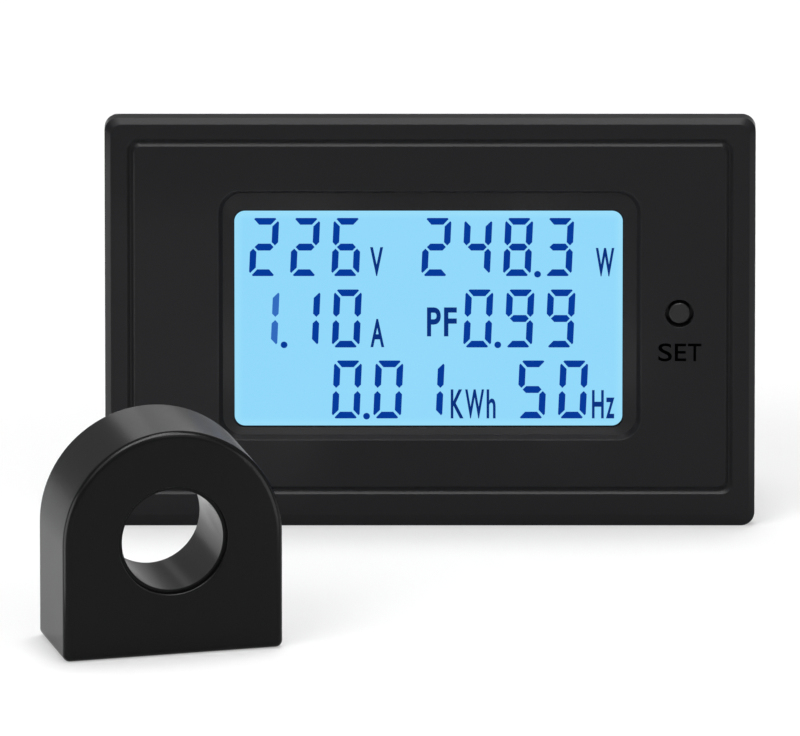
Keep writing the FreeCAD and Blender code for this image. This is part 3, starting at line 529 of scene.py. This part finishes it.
def dipped(name, colour, roughness, pool):
    """Lacquer or sleeve with a slow, uneven surface; pool is its height in metres."""
    material, tree, shader = start_material(name)
    dress_shader(tree, shader, grained(tree, (*colour, 1.0), roughness, 420.0, 0.25), 0.5, pool)
    shader.inputs["Coat Weight"].default_value = coat_share
    return material


lacquers = finishes_from(dipped, {
    "film_box": ((0.62, 0.42, 0.04), 0.35, 0.00002),
    "can_sleeve": ((0.012, 0.014, 0.022), 0.3, 0.00002),
    "disc_lacquer": ((0.03, 0.1, 0.3), 0.32, 0.00008),
    "resin": ((0.02, 0.02, 0.021), 0.4, 0.00006),
})
print(len(lacquers), "coatings")


# %% [markdown]
# The resistor carries dark bands round its length, and the contact strip is made of hundreds of
# thin dark and pale layers of rubber. Both are the same thing at different scales: a place along
# one axis, counted in steps, with part of each step in the second colour. Some whole steps are
# added first, so that the count stays above zero on every piece.

# %% Materials: bands and layers
steps_added = 200.0


def banded(name, plain, band, axis, spacing, share, centre):
    """Bands of one colour on another, across an axis; spacing and centre are in metres."""
    material, tree, shader = start_material(name)
    parts = add_node(tree, "ShaderNodeSeparateXYZ", Vector=object_place(tree))
    steps = maths(tree, "MULTIPLY_ADD", parts.outputs[axis], 1 / spacing,
                  steps_added - centre / spacing)
    mask = maths(tree, "LESS_THAN", maths(tree, "FRACT", steps), share)
    tint = blended(tree, mask, (*plain, 1), (*band, 1))
    dress_shader(tree, shader, grained(tree, tint, 0.45, 1800.0, 0.2), 0.4, 0.00002)
    return material


fuse_low, fuse_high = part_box("fuse_resistor")
fuse_centre = (fuse_low.z + fuse_high.z) / 2
banding = finishes_from(banded, {
    # name: plain colour, band colour, axis, spacing, share of a step, centre
    "resistor_lacquer": ((0.18, 0.3, 0.24), (0.05, 0.02, 0.015), "Z", 0.0018, 0.4, fuse_centre),
    "elastomer": ((0.55, 0.5, 0.5), (0.03, 0.03, 0.03), "X", 0.0002, 0.5, 0.0),
})
print("bands on", list(banding))


# %% [markdown]
# ## Dress every solid
# The record names a material slot for each node. Each loaded object gets the material of its slot,
# put into the object's own slots, so nothing is left with a bare colour. Only the ring's bore tube
# has a finish of its own, because it is smoother than the case round it.

# %% Put the finishes on the solids
finishes = {**black_plastics, **coloured_plastics, **metals, **clears, **lacquers, **banding,
            "lcd_polariser": lit_polariser, "board": board_finish}
own_finish = {"transformer_back": "tube_plastic"}
for entry in frame["record"]["subparts"]:
    solid = nodes[entry["node"]]
    solid.data.materials.clear()
    solid.data.materials.append(finishes[own_finish.get(entry["node"], entry["material_slot"])])


# %% [markdown]
# ## Segment digits
# A display digit is seven dark shapes with thin gaps between their mitred ends, leaning slightly to
# the right. Each shape is a flat plate with six corners. It starts as a circle with that many
# corners, and each corner is moved to its place in edit mode, then the plate is extruded to a
# film's thickness. The seven plates are made once and copied for every digit.

# %% Plates from corners
film_front = film_low.y
ink_gap = 0.00001
ink_back = film_front - ink_gap
ink_thickness = 0.00004
first_radius = 0.001


def select_only(piece):
    """Make one object the only one that operators act on."""
    bpy.ops.object.select_all(action="DESELECT")
    piece.select_set(True)
    bpy.context.view_layer.objects.active = piece


def cut_plate(name, corners, finish):
    """Thin plate on the film; corners are (x, z) in metres, counter-clockwise from the front."""
    bpy.ops.object.select_all(action="DESELECT")
    bpy.ops.mesh.primitive_circle_add(vertices=len(corners), radius=first_radius, fill_type="NGON",
                                      location=(0, ink_back, 0), rotation=(math.pi / 2, 0, 0))
    plate = bpy.context.object
    plate.name = plate.data.name = name
    bpy.ops.object.transform_apply(location=True, rotation=True, scale=True)
    bpy.ops.object.mode_set(mode="EDIT")
    for number, (x, z) in enumerate(corners):
        bpy.ops.mesh.select_all(action="DESELECT")
        bpy.ops.object.mode_set(mode="OBJECT")
        corner = plate.data.vertices[number]
        corner.select = True
        step = (x - corner.co.x, 0, z - corner.co.z)
        bpy.ops.object.mode_set(mode="EDIT")
        bpy.ops.transform.translate(value=step)
    bpy.ops.mesh.select_all(action="SELECT")
    bpy.ops.mesh.extrude_region_move(TRANSFORM_OT_translate={"value": (0, -ink_thickness, 0)})
    bpy.ops.mesh.select_all(action="SELECT")
    bpy.ops.mesh.normals_make_consistent(inside=False)
    bpy.ops.object.mode_set(mode="OBJECT")
    plate.data.materials.append(finish)
    return plate


print("film front at", round(film_front * 1000, 3), "mm")


# %% [markdown]
# The ink of a segment isn't paint: it is light that the cell holds back, so it glows too, in a dark
# saturated blue. Its depth of colour drifts slightly over the cell.

# %% Material: segment ink
def segment_ink(name, dark, pale):
    """Glowing ink that drifts between two colours."""
    material, tree, shader = start_material(name)
    cloud = noise(tree, object_place(tree), 160.0, 2.0)
    feed(tree, shader, "Emission Color", blended(tree, cloud, dark, pale))
    shader.inputs["Emission Strength"].default_value = 1.0
    shader.inputs["Base Color"].default_value = (0.0005, 0.001, 0.004, 1)
    shader.inputs["Roughness"].default_value = 0.4
    shader.inputs["Specular IOR Level"].default_value = 0.02
    return material


ink = segment_ink("segment_ink", srgb(0, 50, 142), srgb(0, 62, 162))
faint_ink = segment_ink("segment_ink_faint", srgb(40, 98, 182), srgb(60, 118, 200))
letter_ink = segment_ink("segment_ink_letters", srgb(2, 38, 112), srgb(6, 54, 134))
print("ink colours", ink.name, faint_ink.name, letter_ink.name)


# %% [markdown]
# Three shapes make all seven: the top bar, the upper right bar and the middle bar. The others are
# their mirror images. Their ends are mitred with blunt tips, so that thin even gaps stay between
# them. The corner places are in units of one digit cell 57.5 units tall and 27.8 wide, measured
# from its top left corner downwards. A function turns them into leaning places in metres.

# %% The seven segment shapes
cell_wide, cell_tall = 27.8, 57.5
digit_width, digit_height = 0.00364, 0.00788
lean = 0.043
top_bar = [(3.9, 0.0), (2.9, 1.1), (8.0, 6.6), (19.8, 6.6), (24.9, 1.1), (23.9, 0.0)]
upper_bar = [(26.6, 3.1), (21.3, 8.4), (21.3, 23.9), (24.7, 27.2), (27.8, 24.0), (27.8, 4.4)]
middle_bar = [(4.4, 28.8), (7.9, 32.2), (20.2, 32.2), (23.4, 28.8), (20.2, 25.4), (7.9, 25.4)]


def mirrored(corners, across=False, down=False):
    """Mirror image of a shape within the cell, with its corners still counter-clockwise."""
    turned = [(cell_wide - x if across else x, cell_tall - y if down else y) for x, y in corners]
    return turned if across == down else turned[::-1]


def leaning(corner):
    """A corner of the cell in metres from the digit's lower left, leaning to the right."""
    x = corner[0] / cell_wide * digit_width
    z = (cell_tall - corner[1]) / cell_tall * digit_height
    return x + lean * z, z


segment_corners = {
    "a": top_bar,
    "b": upper_bar,
    "c": mirrored(upper_bar, down=True),
    "d": mirrored(top_bar, down=True),
    "e": mirrored(upper_bar, across=True, down=True),
    "f": mirrored(upper_bar, across=True),
    "g": middle_bar,
}
segments = {letter: cut_plate("segment_" + letter, [leaning(corner) for corner in corners], ink)
            for letter, corners in segment_corners.items()}
print({letter: len(plate.data.polygons) for letter, plate in segments.items()}, "faces")


# %% [markdown]
# Places on the face were measured on the picture, in its own units, across and down. Two functions
# turn them into metres on the display's film. The picture was taken from a little above, so heights
# are stretched back, and the film lies deeper than the front of the panel.

# %% From the picture to the face
units_per_metre = 7647.0
centre_column = 429.45
origin_line = 317.4
film_lift = 0.0001516
upright_share = 0.9613
pixel = 1 / units_per_metre


def face_x(column):
    """Place across the face of a column counted in the picture's units."""
    return (column - centre_column) * pixel


def face_z(line):
    """Height on the display's film of a line counted down the picture."""
    return ((origin_line - line) * pixel + film_lift) / upright_share


print("one unit is", round(pixel * 1000, 4), "mm")


# %% [markdown]
# Each row of the display is a list of digits with their places across the face. A digit copies the
# segments that it lights, each copy is moved to its place, and the row is joined into one piece.

# %% Digits in rows
lit_segments = {"0": "abcdef", "1": "bc", "2": "abged", "3": "abgcd", "4": "fgbc", "5": "afgcd",
                "6": "afgcde", "8": "abcdefg", "9": "abcfgd"}


def stamp_copy(template, x, z):
    """Copy of a plate with its own mesh, moved across the face."""
    copy = template.copy()
    copy.data = template.data.copy()
    bpy.context.collection.objects.link(copy)
    select_only(copy)
    bpy.ops.transform.translate(value=(x, 0, z))
    bpy.ops.object.transform_apply(location=True, rotation=True, scale=True)
    return copy


def join_pieces(name, pieces):
    """Join pieces into the first one and name it."""
    bpy.ops.object.select_all(action="DESELECT")
    for piece in pieces:
        piece.select_set(True)
    bpy.context.view_layer.objects.active = pieces[0]
    bpy.ops.object.join()
    pieces[0].name = pieces[0].data.name = name
    return pieces[0]


def display_row(name, digits, base, finish):
    """One row of digits; each is (numeral, column), and base is the height of its lower edge."""
    plates = [stamp_copy(segments[letter], face_x(column), base)
              for numeral, column in digits for letter in lit_segments[numeral]]
    for plate in plates:
        plate.data.materials[0] = finish
    row = join_pieces(name, plates)
    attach(row, "meter")
    return row


top_base, middle_base, bottom_base = 0.00584, -0.00387, -0.01353
top_digits = [("2", 248.3), ("2", 289.3), ("6", 330.6), ("2", 420.5), ("4", 461.4), ("8", 502.2),
              ("3", 543.1)]
middle_digits = [("1", 289.6), ("0", 331.0), ("0", 462.5), ("9", 503.6), ("9", 544.6)]
bottom_digits = [("0", 331.0), ("0", 372.5), ("1", 413.7), ("5", 516.4), ("0", 557.4)]
faint_digits = [("1", 248.6)]
rows = [
    display_row("display_row_1", top_digits, top_base, ink),
    display_row("display_row_2", middle_digits, middle_base, ink),
    display_row("display_row_3", bottom_digits, bottom_base, ink),
    display_row("display_faint_digit", faint_digits, middle_base, faint_ink),
]
for plate in segments.values():
    bpy.data.objects.remove(plate)
print([(row.name, len(row.data.polygons)) for row in rows])


# %% [markdown]
# ## Decimal points
# A point is a small round dot of the same ink. One disc is made with enough corners to look round,
# and copied to each place.

# %% Points
point_radius = 3.4 * pixel
point_corners = 24


def ring_corners(radius, count):
    """Corners of a round outline, counter-clockwise seen from the front."""
    turns = [2 * math.pi * number / count for number in range(count)]
    return [(-radius * math.sin(turn), radius * math.cos(turn)) for turn in turns]


point = cut_plate("point", ring_corners(point_radius, point_corners), ink)
point_places = [(536.9, 273.8), (283.4, 344.4), (497.2, 344.4), (365.9, 415.8)]
points = join_pieces("display_points", [stamp_copy(point, face_x(column), face_z(line))
                                        for column, line in point_places])
bpy.data.objects.remove(point)
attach(points, "meter")
print(len(point_places), "points,", len(points.data.polygons), "faces")


# %% [markdown]
# ## Unit letters
# The units beside the digits are plain condensed letters. Each letter is a text object, made a
# mesh first, and then fitted to its place. One helper makes the mesh and measures it, and another
# carries it to its place with a matrix, closes it and gives it its finish.

# %% Letters as meshes
curve_steps = 6
half_depth = 0.5
seam_width = 0.000001


def letter_mesh(letter, weight):
    """A letter as a mesh one unit deep, with its lowest and highest places."""
    bpy.ops.object.select_all(action="DESELECT")
    bpy.ops.object.text_add(location=(0, 0, 0))
    text = bpy.context.object
    text.data.body = letter
    text.data.offset = weight
    text.data.resolution_u = curve_steps
    text.data.extrude = half_depth
    bpy.ops.object.convert(target="MESH")
    piece = bpy.context.object
    low = [min(vertex.co[axis] for vertex in piece.data.vertices) for axis in range(3)]
    high = [max(vertex.co[axis] for vertex in piece.data.vertices) for axis in range(3)]
    return piece, low, high


def seat_letter(piece, fit, finish):
    """Carry a letter to its place, close its seams and give it a finish."""
    piece.data.transform(fit)
    select_only(piece)
    bpy.ops.object.mode_set(mode="EDIT")
    bpy.ops.mesh.select_all(action="SELECT")
    bpy.ops.mesh.remove_doubles(threshold=seam_width)
    bpy.ops.mesh.normals_make_consistent(inside=False)
    bpy.ops.object.mode_set(mode="OBJECT")
    piece.data.materials.clear()
    piece.data.materials.append(finish)
    return piece


print("letters are made", 2 * half_depth, "unit deep")


# %% [markdown]
# A letter on the face fills a box measured on the picture. The matrix stretches it to the box and
# turns it upright, so that its front faces the viewer.

# %% Letters fitted to boxes
def fitted_letter(letter, box, back, thickness, weight, finish):
    """A letter filling a box of left, top, right and bottom, counted in the picture's units."""
    piece, low, high = letter_mesh(letter, weight)
    left, top, right, bottom = box
    wide = (face_x(right) - face_x(left)) / (high[0] - low[0])
    tall = (face_z(top) - face_z(bottom)) / (high[1] - low[1])
    fit = Matrix(((wide, 0, 0, face_x(left) - low[0] * wide),
                  (0, 0, -thickness, back - thickness / 2),
                  (0, tall, 0, face_z(bottom) - low[1] * tall),
                  (0, 0, 0, 1)))
    return seat_letter(piece, fit, finish)


unit_letters = [
    ("V", (369.5, 246.8, 382.5, 275.6), 0.022), ("W", (595.1, 247.6, 613.6, 275.9), 0.024),
    ("A", (369.9, 318.5, 383.6, 346.7), 0.022), ("P", (426.4, 307.0, 440.2, 335.9), 0.022),
    ("F", (443.4, 307.0, 456.2, 335.9), 0.02), ("K", (450.2, 389.0, 463.0, 418.0), 0.016),
    ("W", (464.6, 389.0, 483.6, 418.0), 0.02), ("h", (486.1, 389.0, 495.1, 418.0), 0.014),
    ("H", (591.6, 389.7, 603.4, 418.0), 0.02), ("z", (605.6, 397.2, 614.0, 418.0), 0.012),
]
letters = join_pieces("display_units", [
    fitted_letter(letter, box, ink_back, ink_thickness, weight, letter_ink)
    for letter, box, weight in unit_letters])
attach(letters, "meter")
print(len(unit_letters), "unit letters,", len(letters.data.polygons), "faces")


# %% [markdown]
# ## The key's legend
# Below the key a plain word for its use is printed in black ink on the dark grey face. Printed ink
# is matter than the moulded surface round it and shallower in its grain. The panel stands nearer
# than the film, so the boxes are measured a few units lower than they are used.

# %% Legend under the key
legend_finish = moulded_plastic("legend_print", (0.0006, 0.0006, 0.0007), 0.5, 3000, 0.000004, 0.0,
                                strength=0.4)
panel_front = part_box("front_housing")[0].y
face_nearer = 4.32
legend_sink = 0.00001
legend_thickness = 0.00003
legend_weight = 0.008
legend_boxes = [("S", (657.7, 343.0, 671.3, 361.0)), ("E", (674.2, 343.3, 685.6, 360.7)),
                ("T", (687.4, 343.3, 700.8, 360.7))]
legend = join_pieces("key_legend", [
    fitted_letter(letter, (left, top - face_nearer, right, bottom - face_nearer),
                  panel_front + legend_sink, legend_thickness, legend_weight, legend_finish)
    for letter, (left, top, right, bottom) in legend_boxes])
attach(legend, "meter")
print("legend from", [round(value * 1000, 2) for value in legend.bound_box[0]])


# %% [markdown]
# ## Numbers over the terminals
# On the rear cover a plain number stands over each of the four terminals, printed in thick pale ink
# that can be felt. The numbers read from behind, so their matrix turns them the other way. The ink
# has the same fine grain as a moulding, only shallower.

# %% Printed numbers on the rear cover
number_height = 0.0026
number_rise = 0.00006
number_sink = 0.00002
number_low = -0.0091
number_weight = 0.01
rear_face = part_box("rear_cover")[1].y
pale_print = moulded_plastic("pale_print", (0.5, 0.5, 0.51), 0.5, 3000, 0.000008, 0.3)


def printed_number(numeral, x):
    """A number on the rear cover, centred on x."""
    piece, low, high = letter_mesh(numeral, number_weight)
    scale = number_height / (high[1] - low[1])
    middle = (low[0] + high[0]) / 2
    depth = number_rise + number_sink
    fit = Matrix(((-scale, 0, 0, x + middle * scale),
                  (0, 0, depth, rear_face - number_sink + depth / 2),
                  (0, scale, 0, number_low - low[1] * scale),
                  (0, 0, 0, 1)))
    return seat_letter(piece, fit, pale_print)


screw_boxes = [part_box("terminal_screw_" + str(number)) for number in range(1, 5)]
numbers = join_pieces("terminal_numbers", [
    printed_number(str(number), (low.x + high.x) / 2)
    for number, (low, high) in enumerate(screw_boxes, 1)])
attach(numbers, "meter")
print("numbers at", [round(1000 * (low.x + high.x) / 2, 2) for low, high in screw_boxes], "mm")


# %% [markdown]
# ## The studio
# The object stands on a wide white floor, which fills the picture behind it. Part of its white is a
# glow, mixed in for whatever looks at it: the camera, a reflection or a ray through glass. So gloss
# shows the same white that the picture shows. The rest is plain white paint, which keeps the
# object's shadow. It lies a hair below the feet, so that the two never share a plane.

# %% Floor
floor_size = 8.0
floor_gap = 0.00002
white_share = 0.3
bpy.ops.object.select_all(action="DESELECT")
bpy.ops.mesh.primitive_plane_add(size=floor_size, location=(0, 0, cad_low.z - floor_gap))
floor = bpy.context.object
floor.name = "studio_floor"


def floor_finish():
    """White floor: a share of it glows, and the rest takes light and shadow."""
    material, tree, shader = start_material("studio_floor")
    shader.inputs["Base Color"].default_value = (0.97, 0.97, 0.97, 1)
    shader.inputs["Roughness"].default_value = 0.9
    shader.inputs["Specular IOR Level"].default_value = 0.0
    path = add_node(tree, "ShaderNodeLightPath")
    seen = maths(tree, "MAXIMUM", path.outputs["Is Camera Ray"], path.outputs["Is Glossy Ray"])
    through = maths(tree, "MAXIMUM", seen, path.outputs["Is Transmission Ray"])
    white = add_node(tree, "ShaderNodeEmission", Color=(1, 1, 1, 1), Strength=1.0)
    mix = add_node(tree, "ShaderNodeMixShader")
    feed(tree, mix, 0, maths(tree, "MULTIPLY", through, white_share))
    feed(tree, mix, 1, shader.outputs[0])
    feed(tree, mix, 2, white.outputs[0])
    tree.links.new(mix.outputs[0], tree.nodes["Material Output"].inputs["Surface"])
    return material


floor.data.materials.append(floor_finish())
print("floor at", round((cad_low.z - floor_gap) * 1000, 2), "mm")


# %% [markdown]
# The room round the table is an even pale grey. It lights the object softly from every side, and it
# looks the same to the camera and in reflections, so it needs nothing but one strength.

# %% Surround
room_strength = 0.38
world = bpy.data.worlds.new("studio_surround")
world.use_nodes = True
world.node_tree.nodes.clear()
room = add_node(world.node_tree, "ShaderNodeBackground", Color=(1, 1, 1, 1), Strength=room_strength)
room_end = add_node(world.node_tree, "ShaderNodeOutputWorld")
world.node_tree.links.new(room.outputs[0], room_end.inputs["Surface"])
bpy.context.scene.world = world
print("room at a strength of", room_strength)


# %% [markdown]
# Three large lamps give the plain light: one from the upper left, a weaker one from the right, and
# one overhead that keeps the floor bright and puts the shadows close round the feet of the object.

# %% Lamps
def soft_lamp(name, place, aim, size, power):
    """A rectangular area lamp turned towards a point; size is its width and height."""
    bpy.ops.object.select_all(action="DESELECT")
    bpy.ops.object.light_add(type="AREA", location=place)
    lamp = bpy.context.object
    lamp.name = name
    lamp.data.shape = "RECTANGLE"
    lamp.data.size, lamp.data.size_y = size
    lamp.data.energy = power
    away = Vector(place) - Vector(aim)
    lamp.rotation_euler = away.to_track_quat("Z", "Y").to_euler()
    return lamp


middle = (0, 0, 0)
lamps = [
    soft_lamp("key_lamp", (-0.8, -0.9, 1.1), middle, size=(0.9, 0.9), power=9.0),
    soft_lamp("fill_lamp", (0.8, -1.0, 0.9), middle, size=(0.9, 0.9), power=4.0),
    soft_lamp("overhead_lamp", (0.04, 0.13, 1.4), middle, size=(0.4, 0.4), power=9.8),
]
print([(lamp.name, round(lamp.data.energy, 1)) for lamp in lamps])


# %% [markdown]
# Black plastic shows almost nothing but what it mirrors. A product photographer therefore stands
# small white cards close to it, just outside the picture or out of the camera's sight. Here they
# are lamps that only reflections see, so they draw lines of light without changing how bright the
# colours are. A large one above serves the upper edges of both pieces. Flags keep the light of the
# others off the wrong piece, and light linking does the work of a flag. The meter has one card on
# each side for its bevels, one that hides the ring's dark image in its face, and three before the
# window that show only in the slopes round it.

# %% Reflection cards for the meter
def lit_only(name, node_names):
    """A collection of the solids that a card may light."""
    group = bpy.data.collections.new(name)
    for node_name in node_names:
        group.objects.link(nodes[node_name])
    return group


def reflection_card(name, place, aim, size, radiance, receivers=None):
    """A card seen only in reflections; its power follows from its area and how bright it looks."""
    card = soft_lamp(name, place, aim, size, radiance * math.pi * size[0] * size[1])
    card.visible_camera = False
    card.visible_diffuse = False
    card.visible_transmission = False
    if receivers:
        card.light_linking.receiver_collection = receivers
    return card


for_meter = lit_only("lit_by_meter_cards", ["front_housing", "set_button"])
meter_cards = [
    reflection_card("card_above", (0, -0.18, 0.465), middle, (0.5, 0.22), 18.0),
    reflection_card("card_left", (-0.062, -0.002, -0.004), (0, -0.002, -0.004),
                    (0.012, 0.046), 11.0, for_meter),
    reflection_card("card_right", (0.062, -0.002, -0.004), (0, -0.002, -0.004),
                    (0.012, 0.046), 3.0, for_meter),
    reflection_card("card_behind_ring", (-0.033, -0.02, -0.0085), (-0.033, 0, -0.0085),
                    (0.034, 0.039), 1.3, for_meter),
    reflection_card("card_window_top", (0, -0.0168, -0.0104), (0, -0.002, 0.0155),
                    (0.052, 0.01), 2.4, for_meter),
    reflection_card("card_window_left", (-0.015, -0.0168, -0.0055), (-0.0275, -0.002, 0),
                    (0.006, 0.03), 1.4, for_meter),
    reflection_card("card_window_right", (0.015, -0.0168, -0.0055), (0.0275, -0.002, 0),
                    (0.006, 0.03), 1.1, for_meter),
]
print([(card.name, round(card.data.energy, 3)) for card in meter_cards])


# %% [markdown]
# The ring has one card on each side for its front edge, and three behind it for its crown and bore.

# %% Reflection cards for the ring
for_ring = lit_only("lit_by_ring_cards", ["transformer_case", "transformer_back"])
ring_cards = [
    reflection_card("card_edge_left", (-0.075, -0.07, -0.012), (-0.046, -0.062, -0.012),
                    (0.02, 0.034), 6.0, for_ring),
    reflection_card("card_edge_right", (0.006, -0.076, -0.006), (-0.02, -0.058, -0.01),
                    (0.02, 0.03), 4.0, for_ring),
    reflection_card("card_over_ring", (-0.031, -0.012, 0.019), (-0.031, -0.06, 0.019),
                    (0.042, 0.022), 1.1, for_ring),
    reflection_card("card_beside_ring", (-0.02, -0.011, 0), (-0.02, -0.06, 0),
                    (0.05, 0.014), 0.35, for_ring),
    reflection_card("card_through_bore", (-0.035, -0.012, -0.017), (-0.035, -0.06, -0.017),
                    (0.034, 0.018), 0.6, for_ring),
]
print([(card.name, round(card.data.energy, 3)) for card in ring_cards])


# %% [markdown]
# ## The camera
# The picture was taken from far away with a long lens, from about 16 degrees above. The camera
# stands 3.5 m off, without any shift, at the place that was fitted to the outline of the bezel.

# %% Camera
camera_place = (-0.00393, -3.4, 0.9681)
degrees_above = 16
lens_length = 1216
sensor_width = 36
bpy.ops.object.select_all(action="DESELECT")
bpy.ops.object.camera_add(location=camera_place, rotation=(math.radians(90 - degrees_above), 0, 0))
camera = bpy.context.object
camera.name = "picture_camera"
camera.data.lens = lens_length
camera.data.sensor_width = sensor_width
camera.data.clip_start = 0.1
camera.data.clip_end = 12
bpy.context.scene.camera = camera
bpy.context.scene.view_settings.view_transform = "Standard"
print("camera with a lens of", camera.data.lens, "mm")
